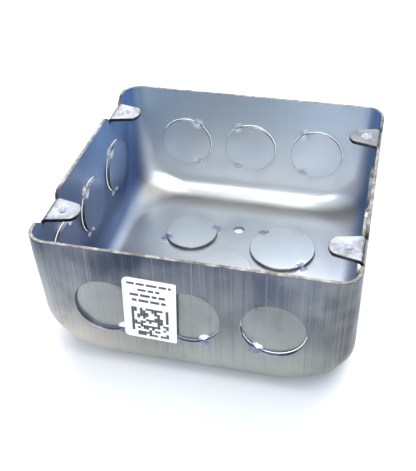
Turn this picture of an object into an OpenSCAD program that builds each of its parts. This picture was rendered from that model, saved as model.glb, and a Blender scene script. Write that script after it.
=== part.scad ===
// Square steel outlet box, drawn from one sheet, with an open top.
// X runs along the front wall, Y towards the rear wall and Z up.
// The origin is at the centre of the underside. Lengths are in millimetres.

/* [Box] */
// Outside width and depth of the box
box_width = 101.6; // [90:0.1:120]
// Height from the underside to the rim
box_height = 48; // [38:0.5:64]
// Thickness of the steel sheet
sheet = 1.2; // [0.8:0.1:1.6]
// Outside radius of the corners and of the edge round the floor
corner_radius = 9.5; // [6:0.5:14]

/* [Wall knockouts] */
// Radius of the holes in the walls
wall_hole_radius = 10.15; // [8:0.05:12]
// Distance between the centres of neighbouring knockouts
wall_pitch = 26.5; // [22:0.5:30]
// Height of the knockout centres above the underside
wall_knockout_height = 25.3; // [20:0.1:32]
// Distance of the two ties' line from the knockout's centre
tie_offset = 5; // [2:0.5:7]

/* [Floor knockouts] */
// Radius of the three small holes in the floor
small_floor_radius = 10.15; // [8:0.05:12]
// Radius of the two large holes in the floor
large_floor_radius = 12.5; // [11:0.05:14]
// Sideways position of the small knockout next to a corner
small_floor_x = 17.8; // [15:0.1:25]
// Depthways position of the small knockout next to a corner
small_floor_y = 19.8; // [15:0.1:25]
// Sideways position of the large knockout next to a corner
large_floor_x = 19; // [15:0.1:25]
// Depthways position of the large knockout next to a corner
large_floor_y = 16.8; // [15:0.1:25]

/* [Slugs] */
// Gap between a slug's edge and the wall of its hole
slug_gap = 0.15; // [0.1:0.05:0.3]
// How far a slug's outer face is pushed in from the box's outer face
slug_depth = 1.5; // [1.3:0.1:2.5]
// Radius of the bent tie at the slug's edge
tie_radius = 2.3; // [1.5:0.1:3]
// How far a tie's outer face is below the box's outer face
tie_depth = 0.3; // [0.1:0.1:1]

/* [Ears] */
// Distance of each ear from the middle of its wall
ear_position = 31.8; // [25:0.1:36]
// Width of an ear at its fold
ear_width = 11.6; // [8:0.1:14]
// Width of an ear at its tip
ear_tip_width = 7.2; // [5:0.1:10]
// Length of an ear from the wall's outer face
ear_length = 11.4; // [9:0.1:15]
// Depth of the ear's upper face below the rim
ear_drop = 1.6; // [0.5:0.1:4]
// Outside radius of the ear's fold
fold_radius = 2.4; // [1.8:0.1:4]
// Radius of the tapped hole in an ear
ear_hole_radius = 1.7; // [1.2:0.05:2.5]
// Distance of the tapped hole from the wall's outer face
ear_hole_inset = 5.4; // [4.5:0.1:8]
// Height of the collar under the tapped hole
collar_height = 0.9; // [0.3:0.1:1.5]

/* [Floor holes] */
// Radius of the two mounting holes in the floor
mount_hole_radius = 2.2; // [1.5:0.1:3]
// Distance of the mounting holes from the middle of the floor
mount_hole_y = 26; // [20:0.5:36]

/* [Label] */
// Width of the label
label_width = 17; // [12:0.5:22]
// Height of the label
label_height = 25; // [18:0.5:32]
// Thickness of the label
label_thickness = 0.15; // [0.1:0.05:0.3]
// Position of the label's middle along the front wall
label_x = -11.9; // [-30:0.1:30]
// Height of the label's middle
label_z = 26.6; // [20:0.1:34]
// Clockwise tilt of the label
label_tilt = 2; // [-5:0.5:5]

/* [Hidden] */
half = box_width / 2;
straight = half - corner_radius;
inner_radius = corner_radius - sheet;
tie_turn = acos(tie_offset / (wall_hole_radius - slug_gap));
ear_top = box_height - ear_drop;
fold_height = ear_top - fold_radius;
steel = [0.62, 0.67, 0.76];
slug_steel = [0.7, 0.74, 0.82];
paper = [0.93, 0.93, 0.91];
$fn = 72;

// Puts its children, drawn for the front wall, on the wall at this turn.
module on_wall(turn) {
  rotate([0, 0, turn]) translate([0, -half, 0]) children();
}

// Section of a wall and of the rounded edge below it, X outwards from the corner's axis.
module wall_section() {
  translate([inner_radius, corner_radius]) square([sheet, box_height - corner_radius]);
  intersection() {
    translate([0, corner_radius]) difference() {
      circle(r = corner_radius);
      circle(r = inner_radius);
    }
    square([corner_radius, corner_radius]);
  }
}

// Straight part of one side, seen from the middle of the box.
module side_run() {
  translate([-straight, -straight, 0]) rotate([90, 0, 90])
    mirror([1, 0, 0]) linear_extrude(height = 2 * straight) wall_section();
}

// Rounded corner of the box, between two straight sides.
module corner_run() {
  translate([straight, straight, 0]) rotate_extrude(angle = 90) wall_section();
}

// Closed drawn shell, before anything is punched.
module drawn_shell() {
  translate([-straight, -straight, 0]) cube([2 * straight, 2 * straight, sheet]);
  for (turn = [0, 90, 180, 270]) {
    rotate([0, 0, turn]) side_run();
    rotate([0, 0, turn]) corner_run();
  }
}

// Three knockout holes through a wall.
module wall_holes() {
  for (step = [-1, 0, 1])
    translate([step * wall_pitch, -1, wall_knockout_height])
      rotate([-90, 0, 0]) cylinder(r = wall_hole_radius, h = sheet + 2);
}

// Five knockout holes and two mounting holes through the floor.
module floor_holes() {
  translate([0, 0, -1]) {
    cylinder(r = small_floor_radius, h = sheet + 2);
    for (turn = [0, 180]) rotate([0, 0, turn]) {
      translate([-small_floor_x, small_floor_y, 0])
        cylinder(r = small_floor_radius, h = sheet + 2);
      translate([large_floor_x, large_floor_y, 0])
        cylinder(r = large_floor_radius, h = sheet + 2);
      translate([0, mount_hole_y, 0]) cylinder(r = mount_hole_radius, h = sheet + 2);
    }
  }
}

// Notch in the rim where an ear is folded in. Its near end is steep, its corner end slopes.
module ear_notch() {
  near = ear_position - ear_width / 2 - 0.7;
  far = ear_position + ear_width / 2 + 0.7;
  translate([half - corner_radius, 0, 0]) rotate([90, 0, 90])
    linear_extrude(height = corner_radius + 1) polygon([
      [near - 2, box_height + 1], [near - 1.9, box_height - 0.1],
      [near - 0.9, box_height - 0.6], [near - 0.2, box_height - 1.7],
      [near, fold_height], [far, fold_height],
      [far + 0.6, fold_height + 1.6], [far + 3, box_height - 0.2], [far + 3.4, box_height + 1]
    ]);
}

// Outline of an ear's flat part, from the fold to the rounded tip.
module ear_outline() {
  fold_x = half - fold_radius;
  tip_x = half - ear_length;
  bow = 5.6;
  intersection() {
    polygon([
      [fold_x, ear_width / 2], [tip_x, ear_tip_width / 2],
      [tip_x, -ear_tip_width / 2], [fold_x, -ear_width / 2]
    ]);
    union() {
      translate([tip_x + bow, -ear_width]) square([2 * bow, 2 * ear_width]);
      translate([tip_x + bow, 0]) circle(r = bow);
    }
  }
}

// Ear on the right wall: the fold, the flat tongue and the collar of its tapped hole.
module ear() {
  translate([0, ear_position, 0]) difference() {
    union() {
      translate([half - fold_radius, ear_width / 2, fold_height])
        rotate([90, 0, 0]) linear_extrude(height = ear_width) intersection() {
          difference() {
            circle(r = fold_radius);
            circle(r = fold_radius - sheet);
          }
          square([fold_radius, fold_radius]);
        }
      translate([0, 0, ear_top - sheet]) linear_extrude(height = sheet) ear_outline();
      translate([half - ear_hole_inset, 0, ear_top - sheet - collar_height])
        cylinder(r1 = ear_hole_radius + 0.5, r2 = ear_hole_radius + 0.8, h = collar_height);
    }
    translate([half - ear_hole_inset, 0, ear_top - 5])
      cylinder(r = ear_hole_radius, h = 7);
  }
}

// Pushed-in disc with two bent ties, drawn flat with its outer side down.
module slug(hole_radius, ties) {
  edge = hole_radius - slug_gap;
  difference() {
    union() {
      translate([0, 0, slug_depth]) cylinder(r = edge, h = sheet);
      intersection() {
        translate([0, 0, tie_depth]) cylinder(r = edge, h = slug_depth - tie_depth);
        for (tie = ties) rotate([0, 0, tie]) translate([edge, 0, tie_depth])
          cylinder(r1 = tie_radius - 0.6, r2 = tie_radius, h = slug_depth - tie_depth);
      }
    }
    for (tie = ties) rotate([0, 0, tie]) translate([edge, 0, slug_depth + 0.5])
      cylinder(r1 = tie_radius - 1.1, r2 = tie_radius - 0.5, h = sheet);
  }
}

// Slug of a wall knockout. Its ties are on the side that tie_side points to.
module wall_slug(turn, step, tie_side) {
  on_wall(turn) translate([step * wall_pitch, 0, wall_knockout_height])
    rotate([-90, 0, 0]) mirror([tie_side < 0 ? 1 : 0, 0, 0])
      slug(wall_hole_radius, [tie_turn, -tie_turn]);
}

// Slug of a floor knockout. Its ties are at both ends of the line at this angle.
module floor_slug(x, y, hole_radius, angle) {
  translate([x, y, 0]) slug(hole_radius, [angle, angle + 180]);
}

module box_shell() {
  color(steel) {
    difference() {
      drawn_shell();
      for (turn = [0, 90, 180, 270]) on_wall(turn) wall_holes();
      floor_holes();
      for (side = [0, 1], end = [0, 1])
        mirror([side, 0, 0]) mirror([0, end, 0]) ear_notch();
    }
    for (side = [0, 1], end = [0, 1])
      mirror([side, 0, 0]) mirror([0, end, 0]) ear();
  }
}

module label() {
  color(paper) translate([label_x, -half, label_z]) rotate([0, label_tilt, 0])
    translate([-label_width / 2, -label_thickness, -label_height / 2])
      cube([label_width, label_thickness, label_height]);
}

module knockout_front_1() { color(slug_steel) wall_slug(0, -1, 1); }
module knockout_front_2() { color(slug_steel) wall_slug(0, 0, 1); }
module knockout_front_3() { color(slug_steel) wall_slug(0, 1, -1); }
module knockout_right_1() { color(slug_steel) wall_slug(90, -1, 1); }
module knockout_right_2() { color(slug_steel) wall_slug(90, 0, 1); }
module knockout_right_3() { color(slug_steel) wall_slug(90, 1, -1); }
module knockout_rear_1() { color(slug_steel) wall_slug(180, -1, 1); }
module knockout_rear_2() { color(slug_steel) wall_slug(180, 0, 1); }
module knockout_rear_3() { color(slug_steel) wall_slug(180, 1, -1); }
module knockout_left_1() { color(slug_steel) wall_slug(270, -1, 1); }
module knockout_left_2() { color(slug_steel) wall_slug(270, 0, 1); }
module knockout_left_3() { color(slug_steel) wall_slug(270, 1, -1); }

module floor_knockout_centre() {
  color(slug_steel) floor_slug(0, 0, small_floor_radius, 0);
}

module floor_knockout_rear_left() {
  color(slug_steel) floor_slug(-small_floor_x, small_floor_y, small_floor_radius, 28);
}

module floor_knockout_rear_right() {
  color(slug_steel) floor_slug(large_floor_x, large_floor_y, large_floor_radius, 135);
}

module floor_knockout_front_left() {
  color(slug_steel) floor_slug(-large_floor_x, -large_floor_y, large_floor_radius, 135);
}

module floor_knockout_front_right() {
  color(slug_steel) floor_slug(small_floor_x, -small_floor_y, small_floor_radius, 28);
}

box_shell();
label();
knockout_front_1();
knockout_front_2();
knockout_front_3();
knockout_right_1();
knockout_right_2();
knockout_right_3();
knockout_rear_1();
knockout_rear_2();
knockout_rear_3();
knockout_left_1();
knockout_left_2();
knockout_left_3();
floor_knockout_centre();
floor_knockout_rear_left();
floor_knockout_rear_right();
floor_knockout_front_left();
floor_knockout_front_right();
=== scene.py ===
import math
import random

import bmesh
import bpy
import numpy as np
from mathutils import Matrix, Vector
from mathutils.geometry import delaunay_2d_cdt
from mathutils.kdtree import KDTree


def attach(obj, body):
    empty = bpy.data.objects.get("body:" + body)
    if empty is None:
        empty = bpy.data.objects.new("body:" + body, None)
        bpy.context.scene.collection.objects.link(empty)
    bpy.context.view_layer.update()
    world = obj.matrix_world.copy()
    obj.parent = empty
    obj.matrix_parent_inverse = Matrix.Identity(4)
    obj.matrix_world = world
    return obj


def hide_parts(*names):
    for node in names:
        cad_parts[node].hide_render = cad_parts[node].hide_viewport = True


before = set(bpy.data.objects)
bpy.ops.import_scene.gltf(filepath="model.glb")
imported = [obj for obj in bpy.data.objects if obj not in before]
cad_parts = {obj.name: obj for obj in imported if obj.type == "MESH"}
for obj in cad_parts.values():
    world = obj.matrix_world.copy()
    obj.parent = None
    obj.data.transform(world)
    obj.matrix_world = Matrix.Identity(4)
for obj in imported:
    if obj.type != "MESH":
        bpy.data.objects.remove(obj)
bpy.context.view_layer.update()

MM = 0.001

# The box, in millimetres. FILLET is the radius between the walls and the floor.
HALF = 50.8
HEIGHT = 48.0
SHEET = 1.2
FILLET = 9.5
# How far sheared edges are broken.
EDGE = 0.13

# The corners' radius in plan: at the rim, at MIDDLE_TOP and, before the fillet draws it in, at
# the floor. It grows from the rim down to MIDDLE_TOP, and once more from WIDEN_TOP down. The CAD
# has FILLET all the way.
RIM_CORNER = 6.6
WALL_CORNER = 10.5
FLOOR_CORNER = 30.0
MIDDLE_TOP = 12.0
WIDEN_TOP = 18.0
# Above 1, so that the chart gives way near the corners rather than in the wall's middle.
GIVE_POWER = 1.6

# The knockouts. The slugs sit a little closer and shallower than in the CAD, where they need
# room to turn.
HOLE = 10.15
LARGE_HOLE = 12.5
PITCH = 26.5
KNOCKOUT_Z = 25.3
SLUG_GAP = 0.08
SLUG_DEPTH = 1.25
# A tie bends the wall in and the slug out by TIE_DIP, less and less up to TIE_REACH.
TIE_OFFSET = 5.0
TIE_REACH = 2.8
TIE_DIP = 0.7
# The part of TIE_DIP past which the metal counts as stretched: outside, inside, on a slug.
# Past it, faces take a painted mark: outside the hole edge's darker blue as painted shade,
# inside and on a slug the bright metal as a painted highlight.
STRETCHED_OUTSIDE, STRETCHED_INSIDE, STRETCHED_SLUG = 0.18, 0.045, 0.12

# The folded ears.
EAR_Y = 31.8
EAR_HALF = 5.8
EAR_FOLD_Z = 44.0
EAR_FOLD_R = 2.4
EAR_FLAT = 9.0
EAR_BOW = 5.6
EAR_TAPER = 2.2 / 9.0
EAR_HOLE = 1.7
EAR_HOLE_INSET = 5.4
# The collar below a tapped hole: its height, how far it spreads under the ear, and the steps
# and depth of its thread.
COLLAR = 0.9
COLLAR_FOOT = 0.95
THREAD_STEPS = 8
THREAD_DEPTH = 0.1

# The wall's chart: U runs round the box, V up the wall from the floor's edge.
U_STRAIGHT = 37.5
U_ARC = 40.0
U_END = 48.5
SIDE = 2 * U_END
V_FLOOR = FILLET * (1 - math.pi / 2)
FOLD_LENGTH = EAR_FOLD_R * math.pi / 2
EAR_HOLE_V = EAR_FOLD_Z + FOLD_LENGTH + (EAR_HOLE_INSET - EAR_FOLD_R)

# Points round each hole, the loose ring just outside it, and the room kept clear for the rings
# round a tie.
HOLE_POINTS = 84
EAR_HOLE_POINTS = 32
MOUNT_HOLE_POINTS = 36
HOLE_RING = 0.7
TIE_RINGS = (0.5, 1.0, 1.6, 2.2, 2.8)
TIE_RING_POINTS = 14
TIE_CLEAR = 3.2

# The order of the shell's materials and of a slug's.
OUTSIDE, INSIDE, HOLE_EDGE, EAR_TOP, RIM_EDGE, BROKEN_EDGE, STRETCHED_HIGHLIGHT = range(7)
SLUG_OUTSIDE, SLUG_INSIDE, SLUG_EDGE, SLUG_STRETCHED_HIGHLIGHT = range(4)

WALLS = ("front", "right", "rear", "left")
# Step along the wall and the side that the ties are on, for knockouts 1 to 3.
WALL_KNOCKOUTS = ((-1, 1), (0, 1), (1, -1))
# Name, centre, hole radius and angle of the line through the ties.
FLOOR_KNOCKOUTS = (
    ("centre", 0.0, 0.0, HOLE, 0),
    ("rear_left", -17.8, 19.8, HOLE, 28),
    ("rear_right", 19.0, 16.8, LARGE_HOLE, 135),
    ("front_left", -19.0, -16.8, LARGE_HOLE, 135),
    ("front_right", 17.8, -19.8, HOLE, 28),
)
MOUNT_HOLES = ((0.0, 26.0), (0.0, -26.0))
MOUNT_RADIUS = 2.2


# ---------------------------------------------------------------- surfaces

def wall_tie_points():
    """The ties of one wall's knockouts, in the wall's own (u, z)."""
    reach = HOLE - SLUG_GAP
    rise = math.sqrt(reach**2 - TIE_OFFSET**2)
    return [
        (step * PITCH + side * TIE_OFFSET, KNOCKOUT_Z + end * rise)
        for step, side in WALL_KNOCKOUTS
        for end in (-1, 1)
    ]


def floor_tie_points():
    """The ties of the floor's knockouts, in (x, y)."""
    found = []
    for _, x, y, radius, angle in FLOOR_KNOCKOUTS:
        for turn in (angle, angle + 180):
            a = math.radians(turn)
            found.append((x + radius * math.cos(a), y + radius * math.sin(a)))
    return found


WALL_TIES = wall_tie_points()
FLOOR_TIES = floor_tie_points()


def smooth_step(t):
    t = np.clip(t, 0, 1)
    return t * t * (3 - 2 * t)


def bump(distance, reach):
    """A hump that is 1 in the middle, where it is steepest, and runs out flat at reach."""
    return np.clip(1 - distance / reach, 0, 1) ** 2


def wall_corner(z):
    """The corner's radius in plan at a height on the wall: tight at the rim, wide low down."""
    tight = smooth_step((z - MIDDLE_TOP) / (HEIGHT - MIDDLE_TOP))
    return WALL_CORNER + (RIM_CORNER - WALL_CORNER) * tight


def on_ear(u, v):
    """True where a point of the chart is on an ear rather than on the wall."""
    side = np.floor((u + U_END) / SIDE).astype(int) % 4
    local = np.abs(u - SIDE * np.floor((u + U_END) / SIDE))
    near = np.abs(local - EAR_Y) < EAR_HALF + 0.3
    return (side % 2 == 1) & near & (v > EAR_FOLD_Z - 1e-6)


def wall_surface(u, v):
    """The outer surface of the walls, the ears and the rounded floor edge."""
    turn = np.floor((u + U_END) / SIDE)
    local = u - SIDE * turn
    s = np.abs(local)
    phi = np.clip((FILLET - v) / FILLET, 0, math.pi / 2)
    pull = FILLET * (1 - np.cos(phi))
    a = HALF - pull
    z = np.where(v >= FILLET, v, FILLET * (1 - np.sin(phi)))
    widen = (FLOOR_CORNER - WALL_CORNER) * smooth_step((WIDEN_TOP - v) / (WIDEN_TOP - V_FLOOR))
    corner = wall_corner(v) + widen - pull
    start = a - corner
    short = np.maximum(U_STRAIGHT + 0.3 - start, 0)
    straight = s - short * (s / U_STRAIGHT) ** GIVE_POWER
    last = U_STRAIGHT - short
    stretched = last + (s - U_STRAIGHT) / (U_ARC - U_STRAIGHT) * (start - last)
    alpha = np.clip((s - U_ARC) / (U_END - U_ARC), 0, 1) * math.pi / 4
    round_x = start + corner * np.sin(alpha)
    x = np.where(s <= U_STRAIGHT, straight, np.where(s <= U_ARC, stretched, round_x))
    y = np.where(s <= U_ARC, -a, -(start + corner * np.cos(alpha)))
    ear = on_ear(u, v)
    past = v - EAR_FOLD_Z
    beta = np.clip(past / EAR_FOLD_R, 0, math.pi / 2)
    flat = np.clip(past - FOLD_LENGTH, 0, None)
    y = np.where(ear, -HALF + EAR_FOLD_R * (1 - np.cos(beta)) + flat, y)
    z = np.where(ear, EAR_FOLD_Z + EAR_FOLD_R * np.sin(beta), z)
    x = np.where(ear, s, x) * np.where(local < 0, -1.0, 1.0)
    angle = turn * math.pi / 2
    c, n = np.cos(angle), np.sin(angle)
    return np.stack([x * c - y * n, x * n + y * c, z], axis=-1)


def wall_normal(u, v):
    """The outward normal of wall_surface, from small steps to both sides."""
    step = 0.02
    low = np.maximum(v - step, V_FLOOR)
    along = wall_surface(u + step, v) - wall_surface(u - step, v)
    ear = on_ear(u, v)
    low = np.where(ear, np.maximum(low, EAR_FOLD_Z), low)
    up = wall_surface(u, v + step) - wall_surface(u, low)
    n = np.cross(along, up)
    size = np.linalg.norm(n, axis=-1, keepdims=True)
    return n / np.maximum(size, 1e-9)


def wall_dip(u, v):
    """How far the wall is pushed in at each point, by the ties."""
    local = u - SIDE * np.floor((u + U_END) / SIDE)
    dip = np.zeros_like(u)
    for tu, tz in WALL_TIES:
        dip += TIE_DIP * bump(np.hypot(local - tu, v - tz), TIE_REACH)
    return dip


def floor_dip(x, y):
    dip = np.zeros_like(x)
    for tx, ty in FLOOR_TIES:
        dip += TIE_DIP * bump(np.hypot(x - tx, y - ty), TIE_REACH)
    return dip


# ------------------------------------------------------------------ charts

def circle_points(cx, cy, radius, count):
    turns = np.arange(count) * 2 * math.pi / count
    return [(cx + radius * math.cos(t), cy + radius * math.sin(t)) for t in turns]


def inside_polygon(points, polygon):
    """Which points lie inside a polygon, by counting crossings."""
    px, py = points[:, 0], points[:, 1]
    result = np.zeros(len(points), bool)
    poly = np.asarray(polygon)
    for (x0, y0), (x1, y1) in zip(poly, np.roll(poly, -1, axis=0)):
        if y0 == y1:
            continue
        crosses = (y0 > py) != (y1 > py)
        at = x0 + (py - y0) * (x1 - x0) / (y1 - y0)
        result ^= crosses & (px < at)
    return result


def distance_to_loop(points, loop):
    """Each point's distance to a closed line."""
    a = np.asarray(loop)
    b = np.roll(a, -1, axis=0)
    best = np.full(len(points), 1e9)
    for p, q in zip(a, b):
        d = q - p
        t = np.clip(((points - p) @ d) / max(d @ d, 1e-12), 0, 1)
        best = np.minimum(best, np.linalg.norm(points - p - t[:, None] * d, axis=1))
    return best


def fill_chart(outline, holes, grid, keep=0.55):
    """Triangles of a flat chart with holes, out of its outline, its holes and the loose points."""
    grid = np.asarray(grid)
    ok = inside_polygon(grid, outline) & (distance_to_loop(grid, outline) > keep)
    for hole in holes:
        ok &= ~inside_polygon(grid, hole)
        ok &= distance_to_loop(grid, hole) > keep
    points, edges = [], []
    for loop in [outline, *holes]:
        first = len(points)
        points += [tuple(p) for p in loop]
        edges += [(first + i, first + (i + 1) % len(loop)) for i in range(len(loop))]
    points += [tuple(p) for p in grid[ok]]
    made = delaunay_2d_cdt([Vector(p) for p in points], edges, [], 0, 1e-5, False)
    flat = np.array([tuple(v) for v in made[0]])
    tris = np.array([f for f in made[2]])
    middle = flat[tris].mean(axis=1)
    good = inside_polygon(middle, outline)
    for hole in holes:
        good &= ~inside_polygon(middle, hole)
    tris = tris[good]
    a, b, c = flat[tris[:, 0]], flat[tris[:, 1]], flat[tris[:, 2]]
    area = (b[:, 0] - a[:, 0]) * (c[:, 1] - a[:, 1]) - (b[:, 1] - a[:, 1]) * (c[:, 0] - a[:, 0])
    tris[area < 0] = tris[area < 0][:, ::-1]
    return flat, tris[np.abs(area) > 1e-7]


def side_columns():
    """The chart's columns for one side, from corner to corner."""
    arc = [U_ARC + (U_END - U_ARC) * k / 9 for k in range(1, 10)]
    half = [*np.linspace(0, U_STRAIGHT, 25), (U_STRAIGHT + U_ARC) / 2, U_ARC, *arc]
    return sorted([-u for u in half[1:]] + half)


def chart_u(y, z):
    """The chart's U of a place on a side wall near the corner."""
    start = HALF - float(wall_corner(z))
    if y <= U_STRAIGHT:
        return y
    return U_STRAIGHT + (y - U_STRAIGHT) * (U_ARC - U_STRAIGHT) / (start - U_STRAIGHT)


def ear_half_width(q):
    """Half an ear's width, q along its flat part."""
    taper = EAR_HALF - q * EAR_TAPER
    past = q - (EAR_FLAT - EAR_BOW)
    if past <= 0:
        return taper
    return min(taper, math.sqrt(max(EAR_BOW**2 - past**2, 0)))


def ear_top_line():
    """The rim's line past one ear, from the wall's middle towards the corner, as (u, v)."""
    line = [(22.2, 48.0), (23.1, 47.86), (23.9, 47.5), (24.55, 46.95), (25.0, 46.2), (25.2, 45.2)]
    line += [(25.3, EAR_FOLD_Z), (EAR_Y - EAR_HALF, EAR_FOLD_Z)]
    side = []
    for s in np.linspace(0.6, FOLD_LENGTH, 5):
        side.append((EAR_HALF, EAR_FOLD_Z + s))
    for q in (1.2, 2.4, 3.4, 4.4, 5.4, 6.2, 6.9, 7.5, 8.0, 8.4, 8.7, 8.9):
        side.append((ear_half_width(q), EAR_FOLD_Z + FOLD_LENGTH + q))
    tip = EAR_FOLD_Z + FOLD_LENGTH + EAR_FLAT
    line += [(EAR_Y - w, v) for w, v in side]
    line += [(EAR_Y, tip)]
    line += [(EAR_Y + w, v) for w, v in reversed(side)]
    line += [(EAR_Y + EAR_HALF, EAR_FOLD_Z), (38.3, EAR_FOLD_Z)]
    beyond = ((38.45, 44.9), (38.9, 45.7), (39.6, 46.3), (40.4, 46.9), (41.1, 47.5), (41.6, 47.85))
    return line + [(chart_u(y, z), z) for y, z in (*beyond, (42.3, HEIGHT))]


def wall_outline():
    """The closed line round the whole wall chart."""
    columns = side_columns()
    bottom, top = [], []
    for turn in range(4):
        for u in columns[:-1]:
            bottom.append((u + SIDE * turn, V_FLOOR))
        line = [(u, HEIGHT) for u in columns]
        if turn % 2:
            ear = ear_top_line()
            mirrored = [(-u, v) for u, v in reversed(ear)]
            low, high = ear[0][0] - 0.4, ear[-1][0] + 0.4
            middle = [p for p in line if abs(p[0]) < low]
            left = [p for p in line if p[0] < -high]
            right = [p for p in line if p[0] > high]
            line = left + mirrored + middle + ear + right
        top += [(u + SIDE * turn, v) for u, v in line[:-1]]
    end = SIDE * 3 + U_END
    bottom.append((end, V_FLOOR))
    top.append((end, HEIGHT))
    # The seam's two edges carry the same heights, so that they weld.
    heights = wall_rows()[1:-1]
    right_edge = [(end, v) for v in heights]
    left_edge = [(-U_END, v) for v in reversed(heights)]
    return bottom + right_edge + list(reversed(top)) + left_edge


def wall_rows():
    return [*np.linspace(V_FLOOR, FILLET, 15), *np.linspace(FILLET, HEIGHT, 25)[1:]]


def tie_rings(tu, tv):
    """Loose points round a tie, so that its bend is smooth."""
    return [p for r in TIE_RINGS for p in circle_points(tu, tv, r, TIE_RING_POINTS)]


def wall_chart():
    holes, grid = [], []
    for turn in range(4):
        for step, _ in WALL_KNOCKOUTS:
            centre = SIDE * turn + step * PITCH
            holes.append(circle_points(centre, KNOCKOUT_Z, HOLE, HOLE_POINTS))
            grid += circle_points(centre, KNOCKOUT_Z, HOLE + HOLE_RING, HOLE_POINTS)
        for tu, tv in WALL_TIES:
            grid += tie_rings(tu + SIDE * turn, tv)
        if turn % 2:
            for end in (-1, 1):
                u = SIDE * turn + end * EAR_Y
                holes.append(circle_points(u, EAR_HOLE_V, EAR_HOLE, EAR_HOLE_POINTS))
                grid += circle_points(u, EAR_HOLE_V, EAR_HOLE + 1.25, EAR_HOLE_POINTS)
    rows = wall_rows()
    for turn in range(4):
        ties = [(tu + SIDE * turn, tv) for tu, tv in WALL_TIES]
        for u in side_columns():
            for v in rows:
                at = (u + SIDE * turn, v)
                if all(math.hypot(at[0] - a, at[1] - b) > TIE_CLEAR for a, b in ties):
                    grid.append(at)
        if turn % 2:
            for end in (-1, 1):
                for du in np.linspace(-5.2, 5.2, 9):
                    for dv in [*np.linspace(0.5, FOLD_LENGTH, 6), *np.linspace(4.6, 12.4, 9)]:
                        off_hole = math.hypot(du, dv - FOLD_LENGTH - 3.0) > EAR_HOLE + 1.7
                        if off_hole:
                            grid.append((SIDE * turn + end * (EAR_Y + du), EAR_FOLD_Z + dv))
    return fill_chart(wall_outline(), holes, grid)


def floor_chart():
    round_floor = np.array([p[0] for p in wall_outline() if p[1] == V_FLOOR])
    border = wall_surface(round_floor, np.array(V_FLOOR))
    outline = [tuple(p[:2]) for p in border[:-1]]
    holes = [circle_points(x, y, r, HOLE_POINTS) for _, x, y, r, _ in FLOOR_KNOCKOUTS]
    holes += [circle_points(x, y, MOUNT_RADIUS, MOUNT_HOLE_POINTS) for x, y in MOUNT_HOLES]
    grid = []
    for _, x, y, r, _ in FLOOR_KNOCKOUTS:
        grid += circle_points(x, y, r + HOLE_RING, HOLE_POINTS)
    for tx, ty in FLOOR_TIES:
        grid += tie_rings(tx, ty)
    steps = np.arange(-40, 40.1, 2.0)
    grid += [
        (x, y) for x in steps for y in steps
        if all(math.hypot(x - a, y - b) > TIE_CLEAR for a, b in FLOOR_TIES)
    ]
    return fill_chart(outline, holes, grid)


# ------------------------------------------------------------------ meshes

def new_object(name, verts, faces, materials, indices, body, replaced=()):
    """A closed mesh in millimetres becomes a piece that rides on a body."""
    mesh = bpy.data.meshes.new(name)
    mesh.from_pydata([tuple(c * MM for c in v) for v in verts], [], faces)
    for material in materials:
        mesh.materials.append(material)
    mesh.polygons.foreach_set("material_index", np.asarray(indices, dtype=np.int32))
    mesh.polygons.foreach_set("use_smooth", np.ones(len(faces), dtype=bool))
    mesh.validate()
    tidy = bmesh.new()
    tidy.from_mesh(mesh)
    bmesh.ops.recalc_face_normals(tidy, faces=tidy.faces)
    tidy.to_mesh(mesh)
    tidy.free()
    mesh.set_sharp_from_angle(angle=math.radians(40))
    mesh.update()
    piece = bpy.data.objects.new(name, mesh)
    bpy.context.scene.collection.objects.link(piece)
    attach(piece, body)
    if replaced:
        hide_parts(*replaced)
    return piece


def weld(points):
    """Which points are the same place: an index for each point and the first of each."""
    tree = KDTree(len(points))
    for i, p in enumerate(points):
        tree.insert(p, i)
    tree.balance()
    index = np.full(len(points), -1)
    first = []
    for i, p in enumerate(points):
        if index[i] < 0:
            for _, j, _ in tree.find_range(p, 0.01):
                if index[j] < 0:
                    index[j] = len(first)
            first.append(i)
    return index, np.array(first)


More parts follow.
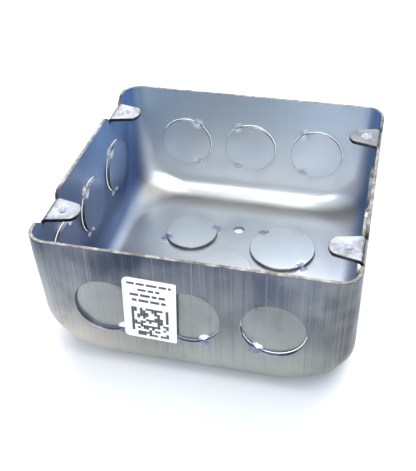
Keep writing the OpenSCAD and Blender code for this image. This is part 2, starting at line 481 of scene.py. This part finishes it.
def thick_mesh(base, normal, dip, tris, collar, ears, rim):
    """A closed sheet of even thickness from its outer surface, with slightly broken edges:
    its points, faces and material indices. collar marks the points on the edge of a tapped
    hole, which gets a collar below the sheet, ears the points of the folded ears and rim those
    along the top."""
    count = len(base)
    outer = base - dip[:, None] * normal
    inner = outer - SHEET * normal
    seen = {}
    for t in tris:
        for a, b in ((t[0], t[1]), (t[1], t[2]), (t[2], t[0])):
            seen[(a, b)] = seen.get((a, b), 0) + 1
    border = [(a, b) for a, b in seen if (b, a) not in seen]
    away = np.zeros_like(outer)
    for a, b in border:
        d = outer[b] - outer[a]
        length = np.linalg.norm(d)
        for p in (a, b):
            away[p] += np.cross(d / max(length, 1e-9), normal[p])
    size = np.linalg.norm(away, axis=1, keepdims=True)
    away = np.where(size > 0.2, away / np.maximum(size, 1e-9), 0)
    top, low = outer.copy(), inner.copy()
    edge = sorted({a for pair in border for a in pair})
    verts_extra, ring = [], {}
    for p in edge:
        t, n, e = outer[p], normal[p], away[p]
        top[p] = t - EDGE * e
        if collar[p]:
            # Down the thread, round the collar's lip and up its outside.
            down = SHEET + COLLAR
            path = [t - EDGE * n]
            for k in range(1, THREAD_STEPS):
                thread = THREAD_DEPTH if k % 2 else 0.0
                path.append(t - n * down * k / THREAD_STEPS - e * thread)
            path += [t - n * (down - 0.1), t - n * down - 0.12 * e, t - n * down - 0.4 * e]
            path += [t - n * (down - 0.15) - 0.55 * e, t - n * (SHEET + 0.15) - 0.7 * e]
            low[p] = inner[p] - COLLAR_FOOT * e
        else:
            path = [t - EDGE * n, t - (SHEET - 0.04) * n]
            low[p] = inner[p] - 0.04 * e
        start = 2 * count + len(verts_extra)
        ring[p] = list(range(start, start + len(path)))
        verts_extra += path
    verts = np.vstack([top, low, np.array(verts_extra)])
    faces, indices = [], []
    for t in tris:
        # From outside only the walls' lower ties are marked: they take the hole edge's darker blue,
        # painted shade on the tilted metal.
        bent, z = dip[t].min() / TIE_DIP, base[t, 2].mean()
        low_tie_shade = bent > STRETCHED_OUTSIDE and 10 < z < KNOCKOUT_Z
        faces.append(tuple(int(i) for i in t))
        indices.append(EAR_TOP if ears[t].all() else HOLE_EDGE if low_tie_shade else OUTSIDE)
        faces.append(tuple(int(i) + count for i in t[::-1]))
        # Bent faces inside take the bright metal, a painted highlight.
        indices.append(STRETCHED_HIGHLIGHT if bent > STRETCHED_INSIDE else INSIDE)
    for a, b in border:
        line_a = [int(a), *ring[a], int(a) + count]
        line_b = [int(b), *ring[b], int(b) + count]
        for k in range(len(line_a) - 1):
            faces.append((line_b[k], line_a[k], line_a[k + 1], line_b[k + 1]))
            # The collar's thread takes the bright metal, partly a painted highlight.
            if collar[a]:
                indices.append(STRETCHED_HIGHLIGHT)
            elif rim[a]:
                indices.append(RIM_EDGE)
            else:
                # The outer bevel takes the brighter slug edge metal, partly a painted highlight.
                indices.append(BROKEN_EDGE if k == 0 else HOLE_EDGE)
    return verts, faces, indices


def make_shell(materials):
    flat, tris = wall_chart()
    u, v = flat[:, 0], flat[:, 1]
    base, normal, dip = wall_surface(u, v), wall_normal(u, v), wall_dip(u, v)
    local = u - SIDE * np.floor((u + U_END) / SIDE)
    from_hole = np.hypot(np.abs(local) - EAR_Y, v - EAR_HOLE_V)
    collar = on_ear(u, v) & (from_hole < EAR_HOLE + 0.2)
    floor_flat, floor_tris = floor_chart()
    x, y = floor_flat[:, 0], floor_flat[:, 1]
    down = np.tile([0.0, 0.0, -1.0], (len(x), 1))
    floor_base = np.stack([x, y, np.zeros_like(x)], axis=-1)
    tris = np.vstack([tris, floor_tris[:, ::-1] + len(base)])
    base = np.vstack([base, floor_base])
    normal = np.vstack([normal, down])
    dip = np.concatenate([dip, floor_dip(x, y)])
    none = np.zeros(len(x), bool)
    collar = np.concatenate([collar, none])
    ears = np.concatenate([on_ear(u, v) & (v > EAR_FOLD_Z + 0.5), none])
    rim = np.concatenate([v > 40, none])
    index, first = weld(base)
    tris = index[tris]
    a, b, c = tris.T
    tris = tris[(a != b) & (b != c) & (a != c)]
    kept = [values[first] for values in (base, normal, dip, collar, ears, rim)]
    verts, faces, indices = thick_mesh(*kept[:3], tris, *kept[3:])
    return new_object(
        "shell", verts, faces, materials, indices, "box", ("box_shell",)
    )


def make_slug(name, node, place, hole_radius, tie_angles, materials, seed):
    """A pushed-in disc whose ties bend out to meet the wall. place turns the disc's own
    (p, q, depth) into a point, and tie_angles are in degrees from p."""
    rng = random.Random(seed)
    edge = hole_radius - SLUG_GAP
    segments = 96
    radii = [*np.linspace(0, edge - 3, 7)[1:], *(edge - d for d in (2.3, 1.7, 1.1, 0.6, EDGE))]
    dish = rng.uniform(0.05, 0.14)
    tilt = rng.uniform(-0.05, 0.05), rng.uniform(-0.05, 0.05)
    ties = [(edge * math.cos(t), edge * math.sin(t)) for t in map(math.radians, tie_angles)]

    def rise_at(p, q):
        return sum(TIE_DIP * float(bump(math.hypot(p - a, q - b), TIE_REACH)) for a, b in ties)

    def lift(p, q):
        bowl = dish * (1 - (p * p + q * q) / edge**2)
        return SLUG_DEPTH - rise_at(p, q) + bowl + (tilt[0] * p + tilt[1] * q) / edge

    verts, faces, indices = [], [], []
    layers = []
    for layer in (SLUG_OUTSIDE, SLUG_INSIDE):
        start = len(verts)
        verts.append(place(0, 0, lift(0, 0) + layer * SHEET))
        for r in radii:
            for k in range(segments):
                a = 2 * math.pi * k / segments
                p, q = r * math.cos(a), r * math.sin(a)
                verts.append(place(p, q, lift(p, q) + layer * SHEET))
        layers.append(start)
        for k in range(segments):
            n = (k + 1) % segments
            faces.append((start, start + 1 + k, start + 1 + n))
            indices.append(layer)
            for i in range(len(radii) - 1):
                row, nxt = start + 1 + i * segments, start + 1 + (i + 1) * segments
                faces.append((row + k, nxt + k, nxt + n, row + n))
                r, a = (radii[i] + radii[i + 1]) / 2, 2 * math.pi * (k + 0.5) / segments
                p, q = r * math.cos(a), r * math.sin(a)
                # Bent faces near the ties take the bright metal, a painted highlight; from outside
                # only the lower ones.
                stretched = rise_at(p, q) > STRETCHED_SLUG * TIE_DIP
                shows = layer == SLUG_INSIDE or q < -5
                indices.append(SLUG_STRETCHED_HIGHLIGHT if stretched and shows else layer)
    # The edge swells a little at the ties, and is uneven half-way through the sheet.
    rings = []
    half_way = SHEET * 0.42
    for depth in (EDGE, half_way, SHEET - EDGE):
        rings.append(len(verts))
        for k in range(segments):
            a = 2 * math.pi * k / segments
            p, q = edge * math.cos(a), edge * math.sin(a)
            grow = max(float(bump(math.hypot(p - x, q - y), 1.9)) for x, y in ties)
            rough = 0.03 * math.sin(7.3 * a + seed) if depth == half_way else 0.0
            r = edge + 0.05 * grow - abs(rough)
            p, q = r * math.cos(a), r * math.sin(a)
            verts.append(place(p, q, lift(p, q) + depth))
    last = len(radii) - 1
    chain = [layers[0] + 1 + last * segments, *rings, layers[1] + 1 + last * segments]
    # The edge takes the brighter slug edge metal, partly a painted highlight.
    for top, bottom in zip(chain, chain[1:]):
        for k in range(segments):
            n = (k + 1) % segments
            faces.append((top + k, bottom + k, bottom + n, top + n))
            indices.append(SLUG_EDGE)
    return new_object(name, verts, faces, materials, indices, node, (node,))


def wall_place(turn, step):
    """Turns a slug's own (p, q, depth) into a place on a wall."""
    angle = turn * math.pi / 2
    c, s = math.cos(angle), math.sin(angle)

    def place(p, q, depth):
        x, y = step * PITCH + p, -HALF + depth
        return (x * c - y * s, x * s + y * c, KNOCKOUT_Z + q)

    return place


def make_slugs(materials):
    seed = 0
    reach = HOLE - SLUG_GAP
    turn_of_tie = math.degrees(math.acos(TIE_OFFSET / reach))
    for turn, wall in enumerate(WALLS):
        for number, (step, side) in enumerate(WALL_KNOCKOUTS, 1):
            base = 0 if side > 0 else 180
            node = f"knockout_{wall}_{number}"
            ties = (base + turn_of_tie, base - turn_of_tie)
            place = wall_place(turn, step)
            make_slug(f"slug_{wall}_{number}", node, place, HOLE, ties, materials, seed)
            seed += 1
    for name, x, y, radius, angle in FLOOR_KNOCKOUTS:
        place = lambda p, q, depth, x=x, y=y: (x + p, y + q, depth)
        node, ties = f"floor_knockout_{name}", (angle, angle + 180)
        make_slug(f"slug_floor_{name}", node, place, radius, ties, materials, seed)
        seed += 1


# --------------------------------------------------------------- materials

# The tints go by place on the box. Part of what they paint is light and shade seen in the photo,
# which the soft studio light doesn't give.

class Nodes:
    """Short names for building a material's node tree."""

    def __init__(self, name):
        self.material = bpy.data.materials.new(name)
        self.material.use_nodes = True
        self.tree = self.material.node_tree
        self.tree.nodes.clear()
        self.output = self.tree.nodes.new("ShaderNodeOutputMaterial")
        self.shader = self.tree.nodes.new("ShaderNodeBsdfPrincipled")
        self.link(self.shader.outputs[0], self.output.inputs["Surface"])
        self.coords = self.tree.nodes.new("ShaderNodeTexCoord").outputs["Object"]

    def link(self, a, b):
        self.tree.links.new(a, b)

    def put(self, socket, value):
        if isinstance(value, bpy.types.NodeSocket):
            self.link(value, socket)
        else:
            socket.default_value = value

    def scaled(self, scale, offset=(0, 0, 0), source=None):
        node = self.tree.nodes.new("ShaderNodeMapping")
        self.link(source or self.coords, node.inputs["Vector"])
        node.inputs["Scale"].default_value = scale
        node.inputs["Location"].default_value = offset
        return node.outputs[0]

    def wall_coords(self):
        """Coordinates that run along the nearest wall and up it, whatever the depth."""
        x, y = self.axis("X"), self.axis("Y")
        on_side = self.math("GREATER_THAN", self.math("ABSOLUTE", x), self.math("ABSOLUTE", y))
        along = self.math("ADD", x, self.math("MULTIPLY", on_side, self.math("SUBTRACT", y, x)))
        node = self.tree.nodes.new("ShaderNodeCombineXYZ")
        self.link(along, node.inputs["X"])
        self.link(self.axis("Z"), node.inputs["Z"])
        return node.outputs[0]

    def noise(self, scale, detail=4.0, rough=0.55, distortion=0.0, source=None, offset=(0, 0, 0)):
        """Noise between about 0.25 and 0.75; scale is in cycles per metre along X, Y and Z."""
        node = self.tree.nodes.new("ShaderNodeTexNoise")
        self.link(self.scaled(scale, offset, source), node.inputs["Vector"])
        node.inputs["Scale"].default_value = 1.0
        node.inputs["Detail"].default_value = detail
        node.inputs["Roughness"].default_value = rough
        node.inputs["Distortion"].default_value = distortion
        return node.outputs["Fac"]

    def spots(self, scale, offset=(0, 0, 0)):
        """Distance to scattered points, 0 in the middle of each spot."""
        node = self.tree.nodes.new("ShaderNodeTexVoronoi")
        self.link(self.scaled(scale, offset), node.inputs["Vector"])
        node.inputs["Scale"].default_value = 1.0
        return node.outputs["Distance"]

    def ramp(self, value, low, high, out_low=0.0, out_high=1.0):
        node = self.tree.nodes.new("ShaderNodeMapRange")
        node.interpolation_type = "SMOOTHSTEP"
        self.put(node.inputs["Value"], value)
        limits = {"From Min": low, "From Max": high, "To Min": out_low, "To Max": out_high}
        for key, number in limits.items():
            node.inputs[key].default_value = number
        return node.outputs["Result"]

    def math(self, operation, a, b=0.0):
        node = self.tree.nodes.new("ShaderNodeMath")
        node.operation = operation
        self.put(node.inputs[0], a)
        self.put(node.inputs[1], b)
        return node.outputs[0]

    def mix(self, factor, a, b):
        node = self.tree.nodes.new("ShaderNodeMix")
        node.data_type = "RGBA"
        self.put(node.inputs["Factor"], factor)
        self.put(node.inputs["A"], (*a, 1.0) if isinstance(a, tuple) else a)
        self.put(node.inputs["B"], (*b, 1.0) if isinstance(b, tuple) else b)
        return node.outputs["Result"]

    def axis(self, name):
        node = self.tree.nodes.new("ShaderNodeSeparateXYZ")
        self.link(self.coords, node.inputs[0])
        return node.outputs[name]

    def bump(self, height, distance, strength=1.0, normal=None):
        node = self.tree.nodes.new("ShaderNodeBump")
        node.inputs["Strength"].default_value = strength
        node.inputs["Distance"].default_value = distance
        self.link(height, node.inputs["Height"])
        if normal is not None:
            self.link(normal, node.inputs["Normal"])
        return node.outputs[0]

    def finish(self, color, roughness, normal=None, metal=0.0):
        self.put(self.shader.inputs["Base Color"], color)
        self.put(self.shader.inputs["Roughness"], roughness)
        self.put(self.shader.inputs["Metallic"], metal)
        if normal is not None:
            self.link(normal, self.shader.inputs["Normal"])
        return self.material


def zinc(name, tint, roughness, streaks, clouds, specks, metal=1.0):
    """Blue-passivated zinc plate: cloudy tint, upright brushed streaks on the walls, fine grain,
    pale specks. tint gives the plain, the pale and the dark colour of the plate, with the painted
    light and shade that go by place on the box; streaks, clouds and specks say how strong each is."""
    n = Nodes(name)
    plain, pale, dark = tint(n)
    upright = n.ramp(n.axis("Z"), 0.003, 0.014)
    cloud = n.noise((38, 38, 38), 3.0, 0.5, 0.4)
    cloud_2 = n.noise((95, 95, 70), 4.0, 0.6, offset=(3.1, 1.7, 5.3))
    wall = n.wall_coords()
    streak = n.noise((1300, 0, 9), 5.0, 0.7, source=wall)
    streak_2 = n.noise((2400, 0, 26), 3.0, 0.6, source=wall, offset=(7.7, 2.2, 0.4))
    grain = n.noise((2600, 2600, 2600), 2.0, 0.7)
    color = n.mix(n.ramp(cloud, 0.36, 0.66, 0.5 - 0.5 * clouds, 0.5 + 0.5 * clouds), plain, pale)
    color = n.mix(n.ramp(cloud_2, 0.50, 0.76, 0.0, 0.5 * clouds), color, dark)
    lines = n.math("MULTIPLY", upright, n.ramp(streak, 0.42, 0.74, 0.0, 0.42 * streaks))
    color = n.mix(lines, color, dark)
    shine = n.math("MULTIPLY", upright, n.ramp(streak_2, 0.5, 0.74, 0.0, 0.3 * streaks))
    color = n.mix(shine, color, n.mix(0.4, color, (0.8, 0.82, 0.86)))
    dots = n.ramp(n.spots((420, 420, 420)), 0.04, 0.16, 1.0, 0.0)
    patches = n.noise((60, 60, 60), 2.0, 0.5, offset=(9, 9, 9))
    dust = n.math("MULTIPLY", dots, n.ramp(patches, 0.5, 0.66, 0.0, specks))
    color = n.mix(dust, color, (0.8, 0.8, 0.8))
    cloudy = n.ramp(cloud_2, 0.3, 0.7, roughness - 0.05 * clouds, roughness + 0.09 * clouds)
    streaky = n.ramp(streak, 0.3, 0.7, -0.03 * streaks, 0.07 * streaks)
    spread = n.math("ADD", cloudy, n.math("MULTIPLY", upright, streaky))
    rough = n.math("ADD", spread, n.math("MULTIPLY", dust, 0.3))
    normal = n.bump(n.math("MULTIPLY", streak, upright), 0.00007 * streaks, 0.5)
    normal = n.bump(cloud, 0.0010 * clouds, 0.35, normal)
    normal = n.bump(grain, 0.00001, 0.3, normal)
    return n.finish(color, rough, normal, metal)


def shades(n, plain, pale, deep):
    """The three colours of a plate from its plain one, and how far the other two are from it."""
    return plain, n.mix(pale, plain, (0.86, 0.87, 0.86)), n.mix(deep, plain, (0.02, 0.03, 0.05))


def outside_tint_and_painted_light(n):
    """Outside, with painted reflections and shade: darker and bluish towards the rim, paler and
    warmer low down and at the left, painted shade nearly black at the right."""
    x, z = n.axis("X"), n.axis("Z")
    # Painted reflections: paler low down, darker and bluish towards the rim.
    low = n.ramp(z, 0.002, 0.028, 1.0, 0.0)
    rim = n.ramp(z, 0.026, 0.045)
    right = n.ramp(x, 0.034, 0.051)
    left = n.ramp(x, -0.050, -0.005, 1.0, 0.0)
    top = n.mix(n.ramp(x, 0.0, 0.04), (0.034, 0.044, 0.076), (0.122, 0.137, 0.176))
    wall = n.mix(rim, (0.155, 0.164, 0.176), top)
    # Painted reflection: paler and warmer low down at the left.
    foot_reflection = n.mix(left, (0.430, 0.440, 0.400), (0.730, 0.660, 0.560))
    cool = n.mix(low, wall, foot_reflection)
    # Painted shade: nearly black at the right.
    cool = n.mix(n.math("MULTIPLY", right, 0.95), cool, (0.035, 0.038, 0.042))
    return shades(n, cool, 0.14, 0.5)


def inside_tint_and_painted_light(n):
    """Inside, with painted light and shade: grey floor, painted paler at the right, with a darker,
    browner band of painted shade along the rear edge; blue side walls, painted darker
    downwards and towards the front; a rear wall with a painted pale reflection low down; and a
    painted shadow over the front left corner of the floor."""
    x, y, z = n.axis("X"), n.axis("Y"), n.axis("Z")
    rear = n.ramp(y, 0.0425, 0.0490)
    side = n.ramp(n.math("ABSOLUTE", x), 0.042, 0.049)
    up = n.ramp(z, 0.012, 0.044)
    # Painted reflection: the rear wall paler low down.
    rear_top = n.mix(n.ramp(x, -0.045, 0.040), (0.80, 0.93, 1.0), (0.76, 0.88, 1.0))
    rear_cool = n.mix(up, (0.98, 1.0, 1.0), rear_top)
    # Painted shade: the side walls darker low down.
    side_cool = n.mix(up, (0.075, 0.145, 0.33), (0.17, 0.34, 0.68))
    # Painted shadow over the front left corner of the floor, and painted shade on the side walls
    # near the front.
    front = n.ramp(y, -0.012, 0.019, 1.0, 0.0)
    corner = n.math("MULTIPLY", front, n.ramp(x, -0.030, 0.034, 1.0, 0.0))
    # Painted shade: a darker, browner band along the rear edge of the floor.
    rear_shade_band = n.ramp(y, 0.035, 0.042, 0.0, 0.8)
    # Painted light: the floor paler at the right.
    plate = n.mix(n.ramp(x, 0.0, 0.036), (0.315, 0.326, 0.340), (0.44, 0.45, 0.47))
    floor_cool = n.mix(rear_shade_band, plate, (0.17, 0.155, 0.130))
    floor_cool = n.mix(corner, floor_cool, (0.03, 0.036, 0.05))
    side_cool = n.mix(n.math("MULTIPLY", front, 0.8), side_cool, (0.03, 0.07, 0.20))
    cool = n.mix(side, n.mix(rear, floor_cool, rear_cool), side_cool)
    return shades(n, cool, 0.15, 0.3)


def slug_outside_tint_and_painted_shade(n):
    """Outside of the slugs: even grey, with a painted reflection darker at the top."""
    # Painted reflection: darker at the top.
    cool = n.mix(n.ramp(n.axis("Z"), 0.015, 0.035), (0.31, 0.32, 0.30), (0.205, 0.212, 0.22))
    return shades(n, cool, 0.2, 0.4)


def slug_inside_tint_and_painted_light(n):
    """Inside of the slugs: like the wall or floor round them, painted light and shade included, but
    painted paler on the rear wall.
    """
    cool, _, _ = inside_tint_and_painted_light(n)
    on_floor = n.ramp(n.axis("Z"), 0.004, 0.008, 0.02, 0.0)
    # Painted light: paler on the rear wall.
    rear_painted_light = n.ramp(n.axis("Y"), 0.040, 0.044, 0.0, 0.6)
    return shades(n, n.mix(n.math("ADD", on_floor, rear_painted_light), cool, (0.92, 0.97, 1.0)), 0.2, 0.3)


def ear_plate():
    """Upper face of the ears: dull zinc that lies flat to the sky, scratched and uneven, with
    painted shade darker at the rear right."""
    n = Nodes("zinc_ear")
    cloud = n.noise((170, 170, 170), 4.0, 0.6, 0.6)
    scratch = n.noise((300, 2200, 900), 4.0, 0.6, offset=(2, 5, 1))
    color = n.mix(n.ramp(cloud, 0.34, 0.66), (0.19, 0.195, 0.21), (0.09, 0.094, 0.105))
    color = n.mix(n.ramp(scratch, 0.55, 0.75, 0.0, 0.5), color, (0.32, 0.32, 0.33))
    # Painted shade: darker at the rear right.
    rear_right = n.math("MULTIPLY", n.ramp(n.axis("X"), 0.02, 0.04), n.ramp(n.axis("Y"), 0.0, 0.03))
    color = n.mix(n.math("MULTIPLY", rear_right, 0.6), color, (0.03, 0.031, 0.035))
    normal = n.bump(cloud, 0.0007, 0.7)
    normal = n.bump(scratch, 0.00003, 0.4, normal)
    return n.finish(color, n.ramp(scratch, 0.3, 0.7, 0.24, 0.38), normal, 1.0)


def edge_metal(name, bright, dull, rust):
    """Sheared edge: dull steel with some zinc on it, and brown specks of rust."""
    n = Nodes(name)
    cloud = n.noise((300, 300, 300), 4.0, 0.6)
    speck = n.ramp(n.noise((700, 700, 700), 4.0, 0.7, offset=(4, 1, 2)), 0.5, 0.62)
    color = n.mix(n.ramp(cloud, 0.35, 0.65), bright, dull)
    color = n.mix(n.math("MULTIPLY", speck, 0.6), color, rust)
    normal = n.bump(cloud, 0.00008, 0.5)
    return n.finish(color, n.ramp(cloud, 0.3, 0.7, 0.32, 0.5), normal, 1.0)


def stretched_metal_and_painted_highlight():
    """Metal stretched at the ties and tapped in the ears: bright as a painted highlight, but dark
    blue on the floor.
    """
    n = Nodes("stretched_steel_and_painted_highlight")
    cloud = n.noise((500, 500, 500), 4.0, 0.6)
    line = n.noise((1500, 1500, 3000), 3.0, 0.6, offset=(1, 6, 3))
    # Painted highlight: near white at the ties and in the tapped holes.
    color = n.mix(n.ramp(cloud, 0.35, 0.65), (0.96, 0.97, 1.0), (0.78, 0.82, 0.90))
    color = n.mix(n.ramp(n.axis("Z"), 0.006, 0.012, 0.85, 0.0), color, (0.11, 0.13, 0.20))
    normal = n.bump(cloud, 0.00010, 0.5)
    normal = n.bump(line, 0.00003, 0.4, normal)
    return n.finish(color, n.ramp(line, 0.3, 0.7, 0.20, 0.34), normal, 0.4)


def paper():
    """White paper with faint stains and fibres."""
    n = Nodes("label_paper")
    fibre = n.noise((1800, 1800, 1800), 4.0, 0.7)
    stain = n.noise((120, 120, 120), 3.0, 0.5)
    color = n.mix(n.ramp(stain, 0.4, 0.75, 0.0, 0.35), (1.0, 1.0, 1.0), (0.94, 0.95, 0.96))
    color = n.mix(n.ramp(fibre, 0.55, 0.8, 0.0, 0.2), color, (0.72, 0.72, 0.72))
    return n.finish(color, n.ramp(fibre, 0.3, 0.7, 0.5, 0.66), n.bump(fibre, 0.00003, 0.4))


def ink():
    """Black print, worn in places."""
    n = Nodes("label_ink")
    fade = n.noise((1500, 1500, 1500), 3.0, 0.7)
    color = n.mix(n.ramp(fade, 0.5, 0.75, 0.0, 0.6), (0.06, 0.06, 0.065), (0.3, 0.3, 0.3))
    return n.finish(color, n.ramp(fade, 0.3, 0.7, 0.4, 0.6), n.bump(fade, 0.00002, 0.3))


def stage_paper():
    """The pale ground that the box stands on."""
    n = Nodes("stage_floor")
    cloud = n.noise((6, 6, 6), 2.0, 0.5)
    color = n.mix(n.ramp(cloud, 0.3, 0.7), (0.86, 0.86, 0.865), (0.88, 0.88, 0.88))
    return n.finish(color, 0.75)


# ------------------------------------------------------------------- label

LABEL_X, LABEL_Z = -11.9, 26.6
LABEL_W, LABEL_H = 17.0, 25.0
LABEL_TILT = math.radians(2)
LABEL_BACK, LABEL_FRONT, INK_FRONT = 0.0, 0.1, 0.13
# The bars that stand for words: height up the label, thickness, left and right end.
PRINT_ROWS = (
    (10.3, 0.9, -7.0, 7.0),
    (8.0, 0.9, -3.6, 3.4),
    (5.8, 1.0, -6.2, 6.3),
    (3.6, 1.0, -5.6, 5.8),
)
BAR_GAP = 0.55
# The block of cells: a cell's size, cells along a side, its lower edge, and how many are filled
# on its rim and inside it.
CELL, CELLS, BLOCK_BOTTOM = 0.92, 13, -11.3
FILLED_RIM, FILLED_INSIDE = 0.8, 0.46


def label_place(p, q, depth):
    """The label's own (right, up, outwards) as a place on the front wall."""
    c, s = math.cos(LABEL_TILT), math.sin(LABEL_TILT)
    return (LABEL_X + p * c + q * s, -HALF - depth, LABEL_Z - p * s + q * c)


def label_outline():
    """The label's outline: round corners at the left and nearly square ones at the right."""
    w, h = LABEL_W / 2, LABEL_H / 2
    line = []
    corners = ((1, 1, 0.5, 0), (-1, 1, 2.2, 90), (-1, -1, 1.4, 180), (1, -1, 0.6, 270))
    for sx, sy, radius, first in corners:
        x, y = sx * (w - radius), sy * (h - radius)
        for k in range(7):
            a = math.radians(first + 15 * k)
            line.append((x + radius * math.cos(a), y + radius * math.sin(a)))
    return line


def make_label(material):
    outline = label_outline()
    grid = [(x, y) for x in np.arange(-8, 8.1, 1.0) for y in np.arange(-12, 12.1, 1.0)]
    flat, tris = fill_chart(outline, [], grid, 0.4)
    count = len(flat)
    verts = [label_place(x, y, LABEL_FRONT) for x, y in flat]
    verts += [label_place(x, y, LABEL_BACK) for x, y in flat]
    faces = [tuple(int(i) for i in t) for t in tris]
    faces += [tuple(int(i) + count for i in t[::-1]) for t in tris]
    edges = {(t[k], t[(k + 1) % 3]) for t in tris for k in range(3)}
    for a, b in edges:
        if (b, a) not in edges:
            faces.append((int(b), int(a), int(a) + count, int(b) + count))
    indices = [0] * len(faces)
    return new_object(
        "label_sheet", verts, faces, [material], indices, "box", ("label",)
    )


def print_boxes():
    """The marks printed on the label: bars in place of words and a block of random cells."""
    rng = random.Random(11)
    boxes = []
    for y, height, left, right in PRINT_ROWS:
        x = left
        while x < right - 0.8:
            length = min(rng.uniform(1.4, 3.6), right - x)
            boxes.append((x, y - height / 2, x + length, y + height / 2))
            x += length + BAR_GAP
    left = -CELL * CELLS / 2
    for i in range(CELLS):
        for j in range(CELLS):
            on_rim = i in (0, CELLS - 1) or j in (0, CELLS - 1)
            if rng.random() < (FILLED_RIM if on_rim else FILLED_INSIDE):
                x, y = left + i * CELL, BLOCK_BOTTOM + j * CELL
                boxes.append((x, y, left + (i + 1) * CELL, BLOCK_BOTTOM + (j + 1) * CELL))
    return boxes


def make_print(material):
    """Each mark is a thin block that stands up from the paper, a little apart from the next."""
    verts, faces = [], []
    inset = 0.02
    for x0, y0, x1, y1 in print_boxes():
        start = len(verts)
        left, right, low, high = x0 + inset, x1 - inset, y0 + inset, y1 - inset
        for depth in (LABEL_FRONT - 0.01, INK_FRONT):
            for x, y in ((left, low), (right, low), (right, high), (left, high)):
                verts.append(label_place(x, y, depth))
        faces.append((start + 4, start + 5, start + 6, start + 7))
        faces.append((start + 3, start + 2, start + 1, start))
        for k in range(4):
            n = (k + 1) % 4
            faces.append((start + k, start + n, start + 4 + n, start + 4 + k))
    indices = [0] * len(faces)
    return new_object("label_print", verts, faces, [material], indices, "box", ())


# ------------------------------------------------------- camera and lights

# In metres and radians: yaw from +Y towards +X, pitch down, roll clockwise.
CAMERA_PLACE = (0.05080, -0.21610, 0.19452)
CAMERA_YAW, CAMERA_PITCH, CAMERA_ROLL = -0.2569, 0.6699, 0.0319
CAMERA_LENS = 60.11

# The lights' name, place, width and height in metres, power in watts and colour.
LIGHTS = (
    ("back", (-0.1, 1.0, 0.85), (2.0, 1.0), 32, (1, 1, 1)),
    ("top", (0.3, -0.1, 1.1), (0.8, 0.8), 7, (1, 1, 1)),
    ("front", (0.1, -1.1, 0.95), (1.6, 0.8), 10, (0.84, 0.92, 1.0)),
)
LIGHT_TARGET = (0, 0, 0.02)
# The sky's colour at heights from level to overhead, and its strength.
SKY = ((0.0, (0.30, 0.34, 0.42)), (0.35, (0.22, 0.30, 0.45)), (0.9, (0.90, 0.96, 1.0)))
SKY_STRENGTH = 0.8


def make_camera():
    cy, sy = math.cos(CAMERA_YAW), math.sin(CAMERA_YAW)
    cp, sp = math.cos(CAMERA_PITCH), math.sin(CAMERA_PITCH)
    cr, sr = math.cos(CAMERA_ROLL), math.sin(CAMERA_ROLL)
    ahead = Vector((sy * cp, cy * cp, -sp))
    right = Vector((cy, -sy, 0.0))
    down = ahead.cross(right)
    right, down = cr * right + sr * down, -sr * right + cr * down
    data = bpy.data.cameras.new("camera")
    data.lens = CAMERA_LENS
    data.sensor_width = 36.0
    data.clip_start = 0.01
    camera = bpy.data.objects.new("camera", data)
    turn = Matrix((right, -down, -ahead)).transposed().to_4x4()
    camera.matrix_world = Matrix.Translation(CAMERA_PLACE) @ turn
    bpy.context.scene.collection.objects.link(camera)
    bpy.context.scene.camera = camera


def make_lights():
    for name, place, size, power, color in LIGHTS:
        data = bpy.data.lights.new(name, "AREA")
        data.shape = "RECTANGLE"
        data.size, data.size_y = size
        data.energy = power
        data.color = color
        light = bpy.data.objects.new(name, data)
        light.location = place
        ahead = Vector(LIGHT_TARGET) - Vector(place)
        light.rotation_euler = ahead.to_track_quat("-Z", "Y").to_euler()
        bpy.context.scene.collection.objects.link(light)


def make_world():
    world = bpy.data.worlds.new("studio")
    bpy.context.scene.world = world
    world.use_nodes = True
    tree = world.node_tree
    background = tree.nodes["Background"]
    coords = tree.nodes.new("ShaderNodeTexCoord")
    split = tree.nodes.new("ShaderNodeSeparateXYZ")
    ramp = tree.nodes.new("ShaderNodeValToRGB")
    tree.links.new(coords.outputs["Generated"], split.inputs[0])
    tree.links.new(split.outputs["Z"], ramp.inputs[0])
    tree.links.new(ramp.outputs[0], background.inputs[0])
    stops = ramp.color_ramp.elements
    stops[1].position = SKY[-1][0]
    stops.new(SKY[1][0])
    for stop, (_, color) in zip(stops, SKY):
        stop.color = (*color, 1)
    background.inputs[1].default_value = SKY_STRENGTH


def make_stage(material):
    mesh = bpy.data.meshes.new("floor")
    size = 1.6
    corners = [(-size, -size, 0), (size, -size, 0), (size, size, 0), (-size, size, 0)]
    mesh.from_pydata(corners, [], [(0, 1, 2, 3)])
    mesh.materials.append(material)
    floor = bpy.data.objects.new("floor", mesh)
    floor.location.z = -0.0002
    bpy.context.scene.collection.objects.link(floor)


# --------------------------------------------------------------------- all

outside = zinc("zinc_outside", outside_tint_and_painted_light, 0.34, 1.0, 1.0, 0.12)
inside = zinc("zinc_inside", inside_tint_and_painted_light, 0.30, 0.3, 0.4, 0.05, 0.64)
ear_top = ear_plate()
hole_edge = edge_metal("hole_edge", (0.26, 0.27, 0.42), (0.16, 0.17, 0.28), (0.14, 0.12, 0.13))
# slug_edge: steel brighter than the hole's edge, partly a painted highlight on slug edges and on
# outer bevels.
slug_edge = edge_metal("slug_edge", (0.44, 0.43, 0.39), (0.26, 0.26, 0.27), (0.20, 0.16, 0.11))
rim_edge = edge_metal("rim_edge", (0.17, 0.165, 0.16), (0.09, 0.088, 0.09), (0.06, 0.040, 0.026))
stretched = stretched_metal_and_painted_highlight()
slug_out = zinc("zinc_slug_outside", slug_outside_tint_and_painted_shade, 0.32, 0.5, 0.6, 0.2)
slug_in = zinc("zinc_slug_inside", slug_inside_tint_and_painted_light, 0.29, 0.0, 0.2, 0.0, 0.64)
make_shell([outside, inside, hole_edge, ear_top, rim_edge, slug_edge, stretched])
make_slugs([slug_out, slug_in, slug_edge, stretched])
make_label(paper())
make_print(ink())
make_stage(stage_paper())
make_camera()
make_world()
make_lights()
bpy.context.scene.view_settings.view_transform = "Standard"
